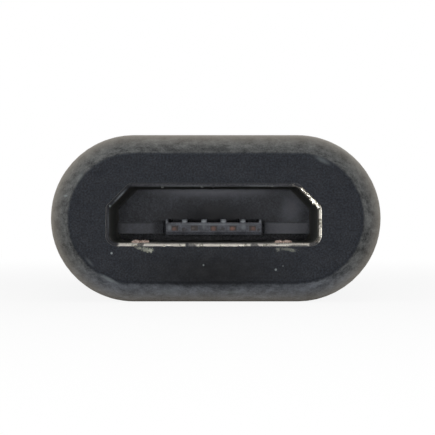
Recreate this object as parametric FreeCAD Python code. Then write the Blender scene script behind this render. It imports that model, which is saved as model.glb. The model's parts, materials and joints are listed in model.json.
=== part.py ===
import FreeCAD, Part
import math
import os

# A short adapter with a micro-USB socket in one end and a USB-C plug at the other,
# in a matt black moulded housing of stadium section. It lies on its flat side.
# Millimetres, +Z up. The model is built with the socket's face at y = 0 and the plug
# towards +Y, and is moved at the end so that the origin is in the middle of its base.

# Housing sleeve: one moulding, closed round the socket and open at the plug's end
body_length = 20.0
side_wall = 0.91
flat_wall = 0.88
front_wall = 1.2
front_bevel = 0.65
face_rounding = 0.2
side_rounding = 0.4
rear_bevel = 0.3
rail_depth = 0.65
rail_stop = 1.0

# Collar that closes the plug's end, snapped into a seat in the sleeve
collar_recess = 0.1
collar_flange = 1.9
collar_spigot = 0.5
seat_depth = 0.15
collar_chamfer = 0.12
snap_width = 3.0
snap_length = 0.5
snap_height = 0.12
snap_setback = 0.6

# Micro-USB socket, wide side down, a little off the middle of the housing as photographed
socket_width = 6.9
socket_height = 1.85
socket_chamfer = 0.7
socket_low_radius = 0.25
socket_chamfer_radius = 0.15
socket_shift_x = -0.07
socket_shift_z = 0.12
socket_inset = 0.15
socket_sheet = 0.25
lip_rounding = 0.115
socket_leg_length = 1.6
socket_leg_drop = 0.15
latch_window_width = 0.9
latch_window_length = 1.3
latch_window_setback = 1.6
latch_window_inset = 1.135
seam_gap = 0.05
seam_key_depth = 0.7
seam_key_length = 1.2
seam_key_flare = 0.2

# Socket insulator: a tongue with ribs between its contacts, on a base that plugs the shell
socket_depth = 4.6
shoulder_length = 0.35
base_grip = 0.55
base_overhang = 0.4
base_undercut = 0.45
tongue_edge = 0.1
tongue_setback = 0.85
tongue_underside = 0.25
tongue_thickness = 0.41
tongue_chamfer = 0.1
shoulder_gap = 0.22
rib_height = 0.115
rib_side_gap = 0.03
rib_chamfer = 0.06
edge_rib_width = 0.07

# Socket contacts, moulded into the tongue
socket_contact_names = ("power", "data_minus", "data_plus", "id", "ground")
socket_contact_spacing = 0.65
socket_contact_width = 0.4
socket_contact_thickness = 0.17
nose_width = 0.23
nose_drop = 0.105
nose_length = 0.15
nose_rise = 0.2
socket_tail_length = 1.2
jog_start = 0.3
jog_length = 0.55

# Circuit board, with its two chips
board_thickness = 0.8
board_gap = 0.1
leg_gap = 0.2
chip_length = 1.0
chip_width = 0.5
resistor_height = 0.35
capacitor_height = 0.5
chip_end_length = 0.25
chip_end_relief = 0.02
resistor_x = -1.6
capacitor_x = 1.6

# USB-C plug: a drawn shell with a rounded nose, and a skirt that stops against the collar
plug_reach = 6.65
plug_sheet = 0.25
plug_nose_rounding = 0.15
plug_lip_length = 0.25
plug_lip_width = 0.15
plug_lip_bevel = 0.08
skirt_length = 1.2
skirt_rise = 0.3
skirt_side_room = 0.175
skirt_flat_room = 0.4
plug_leg_length = 1.4
plug_leg_height = 1.4

# Plug insulator and the cavity in it, whose width follows the contacts
plug_depth = 5.6
cavity_height = 1.1
cavity_end_room = 0.525
cavity_radius = 0.35
cavity_lead_in = 0.15
cavity_roof = 0.4
slot_height = 0.17
slot_end_depth = 2.05

# Plug contacts: the place of each in its row, counted as the standard numbers them
plug_upper_contacts = {
    "ground_a1": 1,
    "power_a4": 4,
    "channel_a5": 5,
    "data_plus_a6": 6,
    "data_minus_a7": 7,
    "power_a9": 9,
    "ground_a12": 12,
}
plug_lower_contacts = {"ground_b1": 1, "power_b4": 4, "power_b9": 9, "ground_b12": 12}
plug_row_count = 12
plug_contact_spacing = 0.5
plug_contact_width = 0.25
plug_contact_thickness = 0.15
plug_contact_mouth = 0.62
plug_contact_depth = 2.9
plug_contact_tip_depth = 2.25
plug_contact_flare = 0.2
plug_tail_length = 1.3
contact_side_gap = 0.04

# Latch plate between the carriers, with an arm and a hook each side of the cavity
latch_sheet = 0.15
latch_arm_width = 0.3
latch_arm_gap = 0.03
latch_web_setback = 0.5
latch_hook_reach = 0.33
latch_hook_depth = 2.6
latch_tip_depth = 2.3
latch_slot_depth = 2.1
latch_slot_height = 0.26
latch_slot_cover = 0.115

# Ground springs: a thin plate above and one below the cavity, with fingers bent into it
spring_sheet = 0.1
spring_edge_room = 0.125
spring_end_bar = 0.1
spring_front_depth = 0.5
spring_rear_depth = 2.6
spring_window_front = 0.65
spring_window_rear = 1.75
finger_count = 3
finger_width = 1.2
finger_side_gap = 0.1
finger_reach = 0.1
finger_contact_depth = 1.05
finger_tip_depth = 0.78
finger_tip_lift = 0.12
bend_radius = 0.12

# Room between pieces that slide together
fit = 0.03
tiny = 1e-5

# Sections, from the contacts out to the housing
cavity_width = (plug_row_count - 1) * plug_contact_spacing + plug_contact_width
cavity_width += 2 * cavity_end_room
latch_slot_width = latch_arm_width + 2 * latch_arm_gap
tube_width = cavity_width + 2 * (latch_slot_width + latch_slot_cover)
tube_height = cavity_height + 2 * cavity_roof
plug_width = tube_width + 2 * plug_sheet
plug_height = tube_height + 2 * plug_sheet
skirt_width = plug_width + 2 * skirt_rise
skirt_height = plug_height + 2 * skirt_rise
skirt_inner_width = skirt_width - 2 * plug_sheet
skirt_inner_height = skirt_height - 2 * plug_sheet
socket_reach = socket_width / 2 + socket_sheet + abs(socket_shift_x)
room_for_plug = skirt_width + 2 * skirt_side_room
room_for_socket = 2 * (socket_reach + skirt_side_room + rail_depth)
bore_width = max(room_for_plug, room_for_socket)
bore_height = skirt_height + 2 * skirt_flat_room
seat_width = bore_width + 2 * seat_depth
seat_height = bore_height + 2 * seat_depth
body_width = bore_width + 2 * side_wall
body_height = bore_height + 2 * flat_wall
socket_row = (len(socket_contact_names) - 1) * socket_contact_spacing
tongue_width = socket_row + socket_contact_width + 2 * tongue_edge
rib_width = socket_contact_spacing - socket_contact_width - 2 * rib_side_gap
spring_width = tube_width - tube_height - 2 * spring_edge_room
finger_window = finger_width + 2 * finger_side_gap
finger_spacing = (spring_width - 2 * spring_end_bar - finger_window) / (finger_count - 1)

# Heights
middle_z = body_height / 2
board_top = middle_z + board_thickness / 2
board_bottom = middle_z - board_thickness / 2
socket_x = socket_shift_x
socket_floor = middle_z + socket_shift_z - socket_height / 2
socket_roof = socket_floor + socket_height
tongue_low_z = socket_floor + tongue_underside
tongue_top_z = tongue_low_z + tongue_thickness
plug_roof = middle_z + tube_height / 2

# Places along the adapter, from the socket's end to the plug's
socket_front_y = socket_inset
tongue_tip_y = socket_front_y + tongue_setback
shoulder_y = socket_front_y + socket_depth
base_front_y = shoulder_y + shoulder_length
socket_rear_y = base_front_y + base_grip
base_rear_y = socket_rear_y + base_overhang
board_front_y = base_rear_y + board_gap
socket_leg_end_y = socket_rear_y + socket_leg_length
board_shoulder_y = socket_leg_end_y + leg_gap
collar_face_y = body_length - collar_recess
seat_y = collar_face_y - collar_flange
skirt_front_y = seat_y - collar_spigot
skirt_rear_y = skirt_front_y - skirt_length
skirt_room_y = skirt_front_y - plug_sheet
plug_leg_end_y = skirt_rear_y - plug_leg_length
rail_end_y = plug_leg_end_y - leg_gap
board_rear_y = skirt_rear_y - board_gap
plug_tip_y = body_length + plug_reach
cavity_rear_y = plug_tip_y - plug_depth
front_y = -plug_tip_y / 2


# Three ways to draw a flat outline of points (u, v), at a distance w along its normal
def across(u, v, w):
    return FreeCAD.Vector(u, w, v)


def lengthways(u, v, w):
    return FreeCAD.Vector(w, u, v)


def plan(u, v, w):
    return FreeCAD.Vector(u, v, w)


def outline(corners, plane, w):
    # A closed wire through corners given as (u, v, radius), each rounded by its radius
    points = [plane(u, v, w) for u, v, _ in corners]
    starts, arcs, ends = [], [], []
    for i, (_, _, radius) in enumerate(corners):
        corner = points[i]
        back = (points[i - 1] - corner).normalize()
        ahead = (points[(i + 1) % len(points)] - corner).normalize()
        if radius < tiny:
            starts.append(corner)
            ends.append(corner)
            arcs.append(None)
            continue
        half = back.getAngle(ahead) / 2
        inward = (back + ahead).normalize()
        starts.append(corner + back * (radius / math.tan(half)))
        ends.append(corner + ahead * (radius / math.tan(half)))
        middle = corner + inward * (radius / math.sin(half) - radius)
        arcs.append(Part.Arc(starts[i], middle, ends[i]).toShape())
    edges = []
    for i in range(len(corners)):
        if arcs[i]:
            edges.append(arcs[i])
        following = starts[(i + 1) % len(corners)]
        if ends[i].distanceToPoint(following) > tiny:
            edges.append(Part.LineSegment(ends[i], following).toShape())
    return Part.Wire(edges)


def prism(corners, plane, start, end):
    face = Part.Face(outline(corners, plane, start))
    return face.extrude(plane(0, 0, end - start))


def block(x_low, x_high, y_low, y_high, z_low, z_high):
    size = (x_high - x_low, y_high - y_low, z_high - z_low)
    return Part.makeBox(*size, FreeCAD.Vector(x_low, y_low, z_low))


def stadium(width, height):
    half_width, half_height = width / 2, height / 2
    signs = ((-1, -1), (1, -1), (1, 1), (-1, 1))
    return [(sx * half_width, middle_z + sz * half_height, half_height) for sx, sz in signs]


def stadium_half_width(width, height, rise):
    # How far a stadium section reaches sideways at a height above its middle
    return (width - height) / 2 + math.sqrt((height / 2) ** 2 - rise**2)


def socket_section(grow):
    # The socket's opening, flat and wide below and chamfered above, grown by an even wall
    half_width = socket_width / 2 + grow
    low = socket_floor - grow
    high = socket_roof + grow
    leg = socket_chamfer + grow * (2 - math.sqrt(2))
    low_radius = socket_low_radius + grow
    chamfer_radius = socket_chamfer_radius + grow
    right = [
        (half_width, low, low_radius),
        (half_width, high - leg, chamfer_radius),
        (half_width - leg, high, chamfer_radius),
    ]
    left = [(-x, z, radius) for x, z, radius in reversed(right)]
    return [(socket_x + x, z, radius) for x, z, radius in right + left]


def strip(points, thickness, bend):
    # The outline of a strip of even thickness that follows points (u, v), with this radius
    # inside each bend, or with sharp corners where no bend is given
    left, right = [], []
    for i, (u, v) in enumerate(points):
        steps = []
        for a, b in ((i - 1, i), (i, i + 1)):
            if a < 0 or b >= len(points):
                continue
            du, dv = points[b][0] - points[a][0], points[b][1] - points[a][1]
            length = math.hypot(du, dv)
            steps.append((du / length, dv / length))
        (du1, dv1), (du2, dv2) = steps[0], steps[-1]
        turn = du1 * dv2 - dv1 * du2
        shift = thickness / 2 / (1 + du1 * du2 + dv1 * dv2)
        offset_u, offset_v = -(dv1 + dv2) * shift, (du1 + du2) * shift
        bent = bend is not None and abs(turn) > tiny
        inner, outer = (bend, bend + thickness) if bent else (0, 0)
        left.append((u + offset_u, v + offset_v, inner if turn > 0 else outer))
        right.append((u - offset_u, v - offset_v, outer if turn > 0 else inner))
    return left + right[::-1]


def edges_at(shape, y, cutter=None):
    # The edges of a shape in the plane at y, or only those of them that a cutter left there
    edges = [e for e in shape.Edges if all(abs(v.Y - y) < tiny for v in e.Vertexes)]
    edges = [e for e in edges if abs(e.CenterOfMass.y - y) < tiny]
    if cutter:
        reach = FreeCAD.BoundBox(cutter.BoundBox)
        reach.enlarge(tiny)
        edges = [e for e in edges if reach.isInside(e.BoundBox)]
    return edges


def turned_over(shape):
    # The plug works either way up, so its lower half is the upper one turned half round
    return shape.rotated(FreeCAD.Vector(0, 0, middle_z), FreeCAD.Vector(0, 1, 0), 180)


def mirrored_left_right(shape):
    return shape.mirror(FreeCAD.Vector(0, 0, 0), FreeCAD.Vector(1, 0, 0))


def fused(shapes):
    return shapes[0].multiFuse(shapes[1:]).removeSplitter()


# Housing


def make_sleeve():
    outer = prism(stadium(body_width, body_height), across, 0, body_length)
    outer = outer.makeChamfer(front_bevel, edges_at(outer, 0))
    outer = outer.makeFillet(side_rounding, edges_at(outer, front_bevel))
    outer = outer.makeFillet(face_rounding, edges_at(outer, 0))
    outer = outer.makeChamfer(rear_bevel, edges_at(outer, body_length))
    bore = prism(stadium(bore_width, bore_height), across, front_wall, body_length)
    hollow = bore.cut(fused(make_rails(bore)))
    seat = prism(stadium(seat_width, seat_height), across, seat_y, body_length)
    window = prism(socket_section(lip_rounding), across, 0, socket_inset)
    pocket = prism(socket_section(socket_sheet + fit), across, socket_inset, front_wall)
    snaps = make_snaps(seat_height / 2, fit)
    return outer.cut([hollow, seat, window, pocket, *snaps])


def make_rails(bore):
    # Side rails that the board slides into, closed at the front as its stop
    half_gap, wall_x = bore_width / 2 - rail_depth, bore_width / 2
    start = board_shoulder_y - rail_stop
    low, high = middle_z - bore_height / 2, middle_z + bore_height / 2
    side = block(half_gap, wall_x, start, rail_end_y, low, high)
    groove = block(
        half_gap, wall_x, board_shoulder_y, rail_end_y, board_bottom - fit, board_top + fit
    )
    rail = side.common(bore).cut(groove)
    return [rail, mirrored_left_right(rail)]


def make_snaps(half_height, room):
    # A wedge above and one below the collar; with room, the pockets that they snap into
    rear = collar_face_y - snap_setback + room
    front = rear - snap_length - 2 * room
    peak = middle_z + half_height + snap_height + room
    root = middle_z + half_height - seat_depth
    half_width = snap_width / 2 + room
    corners = [(front, root, 0), (rear, root, 0), (rear, peak, 0), (front, peak - snap_height, 0)]
    upper = prism(corners, lengthways, -half_width, half_width)
    return [upper, turned_over(upper)]


def make_collar():
    flange_section = stadium(seat_width - 2 * fit, seat_height - 2 * fit)
    flange = prism(flange_section, across, seat_y, collar_face_y)
    flange = flange.makeChamfer(collar_chamfer, edges_at(flange, collar_face_y))
    spigot_section = stadium(bore_width - 2 * fit, bore_height - 2 * fit)
    spigot = prism(spigot_section, across, skirt_front_y, seat_y)
    snaps = make_snaps(seat_height / 2 - fit, 0)
    hole_section = stadium(plug_width + 2 * fit, plug_height + 2 * fit)
    hole = prism(hole_section, across, skirt_front_y, collar_face_y)
    return fused([flange, spigot, *snaps]).cut(hole)


# Micro-USB socket


def make_socket_shell():
    tube = prism(socket_section(socket_sheet), across, socket_front_y, socket_rear_y)
    opening = prism(socket_section(0), across, socket_front_y, socket_rear_y)
    tube = tube.cut(opening)
    tube = tube.makeFillet(lip_rounding, edges_at(tube, socket_front_y, opening))
    shell = fused([tube, *make_socket_legs()])
    return shell.cut([*make_latch_windows(), make_seam()])


def make_socket_legs():
    # Solder legs: the flat parts of the side walls, drawn out along the board's edges
    low = board_bottom - socket_leg_drop
    high = socket_roof - socket_chamfer - socket_chamfer_radius * math.tan(math.pi / 8)
    legs = []
    for side in (-1, 1):
        inner = socket_x + side * socket_width / 2
        outer = inner + side * socket_sheet
        x_low, x_high = min(inner, outer), max(inner, outer)
        legs.append(block(x_low, x_high, socket_rear_y, socket_leg_end_y, low, high))
    return legs


def make_latch_windows():
    # Two holes in the shell's floor that take a plug's latch hooks
    start = socket_front_y + latch_window_setback
    windows = []
    for side in (-1, 1):
        x = socket_x + side * (socket_width / 2 - latch_window_inset)
        half = latch_window_width / 2
        low = socket_floor - socket_sheet
        hole = block(x - half, x + half, start, start + latch_window_length, low, socket_floor)
        windows.append(hole)
    return windows


def make_seam():
    # The dovetailed seam in the shell's roof where its two edges meet
    middle_y = (socket_front_y + socket_rear_y) / 2
    near, far = middle_y - seam_key_length / 2, middle_y + seam_key_length / 2
    x = socket_x
    route = [
        (x, socket_front_y - seam_gap),
        (x, near),
        (x - seam_key_depth, near - seam_key_flare),
        (x - seam_key_depth, far + seam_key_flare),
        (x, far),
        (x, socket_rear_y + seam_gap),
    ]
    low, high = socket_roof - seam_gap, socket_roof + socket_sheet + seam_gap
    return prism(strip(route, seam_gap, None), plan, low, high)


def socket_contact_x(index):
    middle = (len(socket_contact_names) - 1) / 2
    return socket_x + (index - middle) * socket_contact_spacing


def make_socket_contact(index):
    # The exposed beam in its groove, a narrow nose cut off flush with the tongue's end,
    # and a tail that lies on the board: on its top for every other contact, else below
    half_thickness = socket_contact_thickness / 2
    beam_z = tongue_top_z - half_thickness
    nose_z = beam_z - nose_drop
    tail_z = board_top + half_thickness if index % 2 == 0 else board_bottom - half_thickness
    beam_y = tongue_tip_y + nose_length + nose_rise
    jog_y = base_front_y + jog_start
    tail_end_y = board_front_y + socket_tail_length
    nose_route = [
        (tongue_tip_y, nose_z),
        (tongue_tip_y + nose_length, nose_z),
        (beam_y, beam_z),
        (beam_y + nose_length, beam_z),
    ]
    beam_route = [
        (beam_y, beam_z),
        (jog_y, beam_z),
        (jog_y + jog_length, tail_z),
        (tail_end_y, tail_z),
    ]
    x = socket_contact_x(index)
    pieces = []
    for route, width in ((nose_route, nose_width), (beam_route, socket_contact_width)):
        section = strip(route, socket_contact_thickness, 0)
        pieces.append(prism(section, lengthways, x - width / 2, x + width / 2))
    return fused(pieces)


def make_socket_insulator(contacts):
    half_socket, half_tongue = socket_width / 2, tongue_width / 2
    left, right = socket_x - half_socket, socket_x + half_socket
    base = prism(socket_section(0), across, base_front_y, base_rear_y)
    shoulders = block(left, right, shoulder_y, base_front_y, tongue_low_z, tongue_top_z)
    undercut_end = base_front_y + base_undercut
    undercut = block(left, right, base_front_y, undercut_end, socket_floor, tongue_low_z)
    cuts = [undercut]
    for side in (-1, 1):
        inner = socket_x + side * half_tongue
        outer = inner + side * shoulder_gap
        x_low, x_high = min(inner, outer), max(inner, outer)
        cuts.append(block(x_low, x_high, shoulder_y, base_front_y, tongue_low_z, tongue_top_z))
    side_view = [
        (tongue_tip_y, tongue_low_z + tongue_chamfer, 0),
        (tongue_tip_y + tongue_chamfer, tongue_low_z, 0),
        (base_front_y, tongue_low_z, 0),
        (base_front_y, tongue_top_z, 0),
        (tongue_tip_y, tongue_top_z, 0),
    ]
    tongue = prism(side_view, lengthways, socket_x - half_tongue, socket_x + half_tongue)
    body = fused([base, shoulders]).cut(cuts)
    return fused([body, tongue, *make_ribs()]).cut(contacts)


def make_ribs():
    # Ribs between the contact grooves, and a thin one along each edge of the tongue
    rib_top_z = tongue_top_z + rib_height
    half_rib, half_tongue = rib_width / 2, tongue_width / 2
    spans = []
    for index in range(len(socket_contact_names) - 1):
        x = (socket_contact_x(index) + socket_contact_x(index + 1)) / 2
        spans.append((x - half_rib, x + half_rib))
    spans.append((socket_x - half_tongue, socket_x - half_tongue + edge_rib_width))
    spans.append((socket_x + half_tongue - edge_rib_width, socket_x + half_tongue))
    side_view = [
        (tongue_tip_y, tongue_top_z, 0),
        (base_front_y, tongue_top_z, 0),
        (base_front_y, rib_top_z, 0),
        (tongue_tip_y + rib_chamfer, rib_top_z, 0),
        (tongue_tip_y, rib_top_z - rib_chamfer, 0),
    ]
    return [prism(side_view, lengthways, low, high) for low, high in spans]


# Circuit board and chips


def make_board():
    # A tab between the socket's legs, a wide middle that runs in the rails, and a tab
    # between the plug's legs
    rise = board_thickness / 2
    front_half = socket_width / 2 - fit
    main_half = stadium_half_width(bore_width, bore_height, rise) - board_gap
    rear_half = stadium_half_width(skirt_inner_width, skirt_inner_height, rise) - fit
    main_end_y = rail_end_y + board_gap
    corners = [
        (socket_x - front_half, board_front_y, 0),
        (socket_x + front_half, board_front_y, 0),
        (socket_x + front_half, board_shoulder_y, 0),
        (main_half, board_shoulder_y, 0),
        (main_half, main_end_y, 0),
        (rear_half, main_end_y, 0),
        (rear_half, board_rear_y, 0),
        (-rear_half, board_rear_y, 0),
        (-rear_half, main_end_y, 0),
        (-main_half, main_end_y, 0),
        (-main_half, board_shoulder_y, 0),
        (socket_x - front_half, board_shoulder_y, 0),
    ]
    return prism(corners, plan, board_bottom, board_top)


def make_chip(x, height):
    # A chip with a metal cap at each end, halfway between the two connectors
    y = (board_shoulder_y + rail_end_y) / 2
    half_length, half_width = chip_length / 2, chip_width / 2
    top = board_top + height
    body = block(
        x - half_width + chip_end_relief,
        x + half_width - chip_end_relief,
        y - half_length,
        y + half_length,
        board_top,
        top - chip_end_relief,
    )
    near = y - half_length
    far = y + half_length - chip_end_length
    ends = [
        block(x - half_width, x + half_width, low, low + chip_end_length, board_top, top)
        for low in (near, far)
    ]
    return fused([body, *ends])


# USB-C plug


def make_plug_shell():
    tube = prism(stadium(plug_width, plug_height), across, skirt_front_y, plug_tip_y)
    tube = tube.makeFillet(plug_nose_rounding, edges_at(tube, plug_tip_y))
    skirt = prism(stadium(skirt_width, skirt_height), across, skirt_rear_y, skirt_front_y)
    lip_y = plug_tip_y - plug_lip_length
    bore = prism(stadium(tube_width, tube_height), across, skirt_rear_y, lip_y)
    mouth_width = tube_width - 2 * plug_lip_width
    mouth_height = tube_height - 2 * plug_lip_width
    mouth = prism(stadium(mouth_width, mouth_height), across, lip_y, plug_tip_y)
    room = prism(
        stadium(skirt_inner_width, skirt_inner_height), across, skirt_rear_y, skirt_room_y
    )
    shell = fused([tube, skirt]).cut([bore, mouth, room])
    shell = shell.makeChamfer(plug_lip_bevel, edges_at(shell, plug_tip_y, mouth))
    return fused([shell, *make_plug_legs()])


def make_plug_legs():
    # Solder legs: two strips of the skirt's side walls, drawn out along the board's edges
    section = stadium(skirt_width, skirt_height)
    hollow = stadium(skirt_inner_width, skirt_inner_height)
    wall = prism(section, across, plug_leg_end_y, skirt_rear_y)
    wall = wall.cut(prism(hollow, across, plug_leg_end_y, skirt_rear_y))
    half = plug_leg_height / 2
    inside = skirt_inner_width / 2 - skirt_inner_height / 2
    window = block(
        inside, skirt_width / 2, plug_leg_end_y, skirt_rear_y, middle_z - half, middle_z + half
    )
    leg = wall.common(window)
    return [leg, mirrored_left_right(leg)]


def plug_contact_x(place):
    return ((plug_row_count + 1) / 2 - place) * plug_contact_spacing


def make_plug_contact(place):
    # One contact of the upper row: tail on the board, beam through the carrier, and a
    # sprung end that dips to the mating tongue and turns up again at its tip
    half_thickness = plug_contact_thickness / 2
    level = board_top + half_thickness
    dip = middle_z + plug_contact_mouth / 2 + half_thickness
    route = [
        (board_rear_y - plug_tail_length, level),
        (cavity_rear_y + bend_radius, level),
        (plug_tip_y - plug_contact_depth, dip),
        (plug_tip_y - plug_contact_tip_depth, dip + plug_contact_flare),
    ]
    x = plug_contact_x(place)
    half_width = plug_contact_width / 2
    section = strip(route, plug_contact_thickness, bend_radius)
    return prism(section, lengthways, x - half_width, x + half_width)


def make_carrier(contacts):
    # The upper carrier: a bar in the plug's tube and a wider block in its skirt
    split = middle_z + latch_sheet / 2
    bar = prism(stadium(tube_width, tube_height), across, skirt_room_y, cavity_rear_y)
    heel_section = stadium(skirt_inner_width, skirt_inner_height)
    heel = prism(heel_section, across, skirt_rear_y, skirt_room_y)
    half_width = skirt_inner_width / 2
    top = middle_z + skirt_inner_height / 2
    upper = block(-half_width, half_width, skirt_rear_y, cavity_rear_y, split, top)
    # Its front lip hides the latch plate's web, and meets the other carrier's lip
    lip_rear_y = cavity_rear_y - latch_web_setback + fit
    lip_half = cavity_width / 2
    lip = block(-lip_half, lip_half, lip_rear_y, cavity_rear_y, middle_z, split)
    return fused([bar, heel]).common(fused([upper, lip])).cut(contacts)


def make_plug_insulator():
    front = plug_tip_y - plug_lip_length
    body = prism(stadium(tube_width, tube_height), across, cavity_rear_y, front)
    half_width, half_height = cavity_width / 2, cavity_height / 2
    signs = ((-1, -1), (1, -1), (1, 1), (-1, 1))
    cavity_corners = [
        (sx * half_width, middle_z + sz * half_height, cavity_radius) for sx, sz in signs
    ]
    cavity = prism(cavity_corners, across, cavity_rear_y, front)
    body = body.cut(cavity)
    body = body.makeChamfer(cavity_lead_in, edges_at(body, front, cavity))
    return body.cut(make_insulator_cuts())


def make_insulator_cuts():
    # Contact slots, latch slots, and the seats and windows of the ground springs
    cuts = []
    slot_half = plug_contact_width / 2 + contact_side_gap
    roof = middle_z + cavity_height / 2
    slot_end = plug_tip_y - slot_end_depth
    for contacts, turned in ((plug_upper_contacts, False), (plug_lower_contacts, True)):
        for place in contacts.values():
            x = plug_contact_x(place)
            slot = block(
                x - slot_half, x + slot_half, cavity_rear_y, slot_end, middle_z, roof + slot_height
            )
            cuts.append(turned_over(slot) if turned else slot)
    inner = cavity_width / 2 - latch_arm_gap
    outer = cavity_width / 2 + latch_slot_width
    half = latch_slot_height / 2
    latch_end = plug_tip_y - latch_slot_depth
    latch_slot = block(inner, outer, cavity_rear_y, latch_end, middle_z - half, middle_z + half)
    cuts += [latch_slot, mirrored_left_right(latch_slot)]
    windows = [spring_window(x, middle_z) for x in finger_places()]
    for cut in (spring_plate(), *windows):
        cuts += [cut, turned_over(cut)]
    return cuts


def finger_places():
    middle = (finger_count - 1) / 2
    return [(i - middle) * finger_spacing for i in range(finger_count)]


def spring_plate():
    half_width = spring_width / 2
    rear_y, front_edge_y = plug_tip_y - spring_rear_depth, plug_tip_y - spring_front_depth
    low = plug_roof - spring_sheet
    return block(-half_width, half_width, rear_y, front_edge_y, low, plug_roof)


def spring_window(x, z_low):
    half_width = finger_window / 2
    rear_y, front_edge_y = plug_tip_y - spring_window_rear, plug_tip_y - spring_window_front
    return block(x - half_width, x + half_width, rear_y, front_edge_y, z_low, plug_roof)


def make_ground_spring():
    # The upper plate with its windows, and a finger bent down through each of them
    low = plug_roof - spring_sheet
    plate = spring_plate().cut([spring_window(x, low) for x in finger_places()])
    level = plug_roof - spring_sheet / 2
    contact_z = middle_z + cavity_height / 2 - finger_reach + spring_sheet / 2
    root_y = plug_tip_y - spring_window_rear
    route = [
        (root_y - spring_sheet, level),
        (root_y + spring_sheet, level),
        (plug_tip_y - finger_contact_depth, contact_z),
        (plug_tip_y - finger_tip_depth, contact_z + finger_tip_lift),
    ]
    section = strip(route, spring_sheet, 0)
    half_width = finger_width / 2
    fingers = [prism(section, lengthways, x - half_width, x + half_width) for x in finger_places()]
    return fused([plate, *fingers])


def make_latch_plate():
    # One flat stamping: a web between the carriers and two arms that end in hooks
    inner = cavity_width / 2 + latch_arm_gap
    outer = inner + latch_arm_width
    web_rear = skirt_front_y
    web_front = cavity_rear_y - latch_web_setback
    hook_y = plug_tip_y - latch_hook_depth
    tip_y = plug_tip_y - latch_tip_depth
    right = [
        (outer, web_rear, 0),
        (outer, tip_y, 0),
        (inner, tip_y, 0),
        (inner - latch_hook_reach, hook_y, 0),
        (inner, hook_y - latch_hook_reach, 0),
        (inner, web_front, 0),
    ]
    left = [(-x, y, radius) for x, y, radius in reversed(right)]
    half = latch_sheet / 2
    return prism(right + left, plan, middle_z - half, middle_z + half)


def make_all():
    nodes = {
        "housing_sleeve": make_sleeve(),
        "rear_collar": make_collar(),
        "socket_shell": make_socket_shell(),
        "circuit_board": make_board(),
        "pull_up_resistor": make_chip(resistor_x, resistor_height),
        "bypass_capacitor": make_chip(capacitor_x, capacitor_height),
        "plug_shell": make_plug_shell(),
        "plug_insulator": make_plug_insulator(),
        "plug_latch_plate": make_latch_plate(),
        "plug_upper_ground_spring": make_ground_spring(),
        "plug_lower_ground_spring": turned_over(make_ground_spring()),
    }
    socket_contacts = []
    for index, name in enumerate(socket_contact_names):
        contact = make_socket_contact(index)
        nodes[f"socket_{name}_contact"] = contact
        socket_contacts.append(contact)
    nodes["socket_insulator"] = make_socket_insulator(socket_contacts)
    upper, lower = [], []
    for name, place in plug_upper_contacts.items():
        contact = make_plug_contact(place)
        nodes[f"plug_contact_{name}"] = contact
        upper.append(contact)
    for name, place in plug_lower_contacts.items():
        contact = make_plug_contact(place)
        nodes[f"plug_contact_{name}"] = turned_over(contact)
        lower.append(contact)
    nodes["plug_upper_carrier"] = make_carrier(upper)
    nodes["plug_lower_carrier"] = turned_over(make_carrier(lower))
    return nodes


os.makedirs("parts", exist_ok=True)
for node, shape in make_all().items():
    shape.translate(FreeCAD.Vector(0, front_y, 0))
    solids = Part.makeCompound(shape.Solids) if len(shape.Solids) > 1 else shape.Solids[0]
    solids.exportStep(f"parts/{node}.step")
    print(node, "solids", len(shape.Solids), "volume", round(shape.Volume, 4), shape.isValid())
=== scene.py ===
import json
import math

import bmesh
import bpy
from mathutils import Matrix, Vector, noise


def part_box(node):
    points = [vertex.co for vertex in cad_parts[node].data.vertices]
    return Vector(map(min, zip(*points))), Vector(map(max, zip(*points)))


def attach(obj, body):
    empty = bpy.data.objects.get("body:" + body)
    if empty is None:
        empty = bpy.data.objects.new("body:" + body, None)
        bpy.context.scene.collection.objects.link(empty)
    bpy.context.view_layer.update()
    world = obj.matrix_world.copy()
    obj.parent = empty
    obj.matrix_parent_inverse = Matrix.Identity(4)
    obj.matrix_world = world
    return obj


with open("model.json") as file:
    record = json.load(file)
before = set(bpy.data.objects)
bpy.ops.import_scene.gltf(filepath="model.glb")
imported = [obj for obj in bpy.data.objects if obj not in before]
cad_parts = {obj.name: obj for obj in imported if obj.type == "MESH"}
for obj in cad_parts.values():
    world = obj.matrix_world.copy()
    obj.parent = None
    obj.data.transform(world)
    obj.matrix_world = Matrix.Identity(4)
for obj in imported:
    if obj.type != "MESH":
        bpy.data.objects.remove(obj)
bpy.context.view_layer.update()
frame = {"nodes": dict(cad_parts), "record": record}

mm = 0.001
nodes = frame["nodes"]
print("Loaded", len(nodes), "nodes of the adapter")


def linearColour(hexText):
    # sRGB hex to the linear colour that the shaders take
    parts = [int(hexText[i:i + 2], 16) / 255 for i in (1, 3, 5)]
    linear = [p / 12.92 if p <= 0.04045 else ((p + 0.055) / 1.055) ** 2.4 for p in parts]
    return (*linear, 1.0)


def addNode(tree, kind, settings=None, links=None):
    # adds one node; a setting is one of the node's own, or else a socket's value
    node = tree.nodes.new("ShaderNode" + kind)
    for key, value in (settings or {}).items():
        if isinstance(key, str) and hasattr(node, key):
            setattr(node, key, value)
        else:
            node.inputs[key].default_value = value
    for key, source in (links or {}).items():
        tree.links.new(source, node.inputs[key])
    return node


def newMaterial(name):
    # an empty material, its tree, and where on the part each point lies
    material = bpy.data.materials.new(name)
    material.use_nodes = True
    tree = material.node_tree
    tree.nodes.clear()
    return material, tree, addNode(tree, "TexCoord").outputs["Object"]


def finishMaterial(tree, shader):
    addNode(tree, "OutputMaterial", links={"Surface": shader.outputs[0]})


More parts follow.
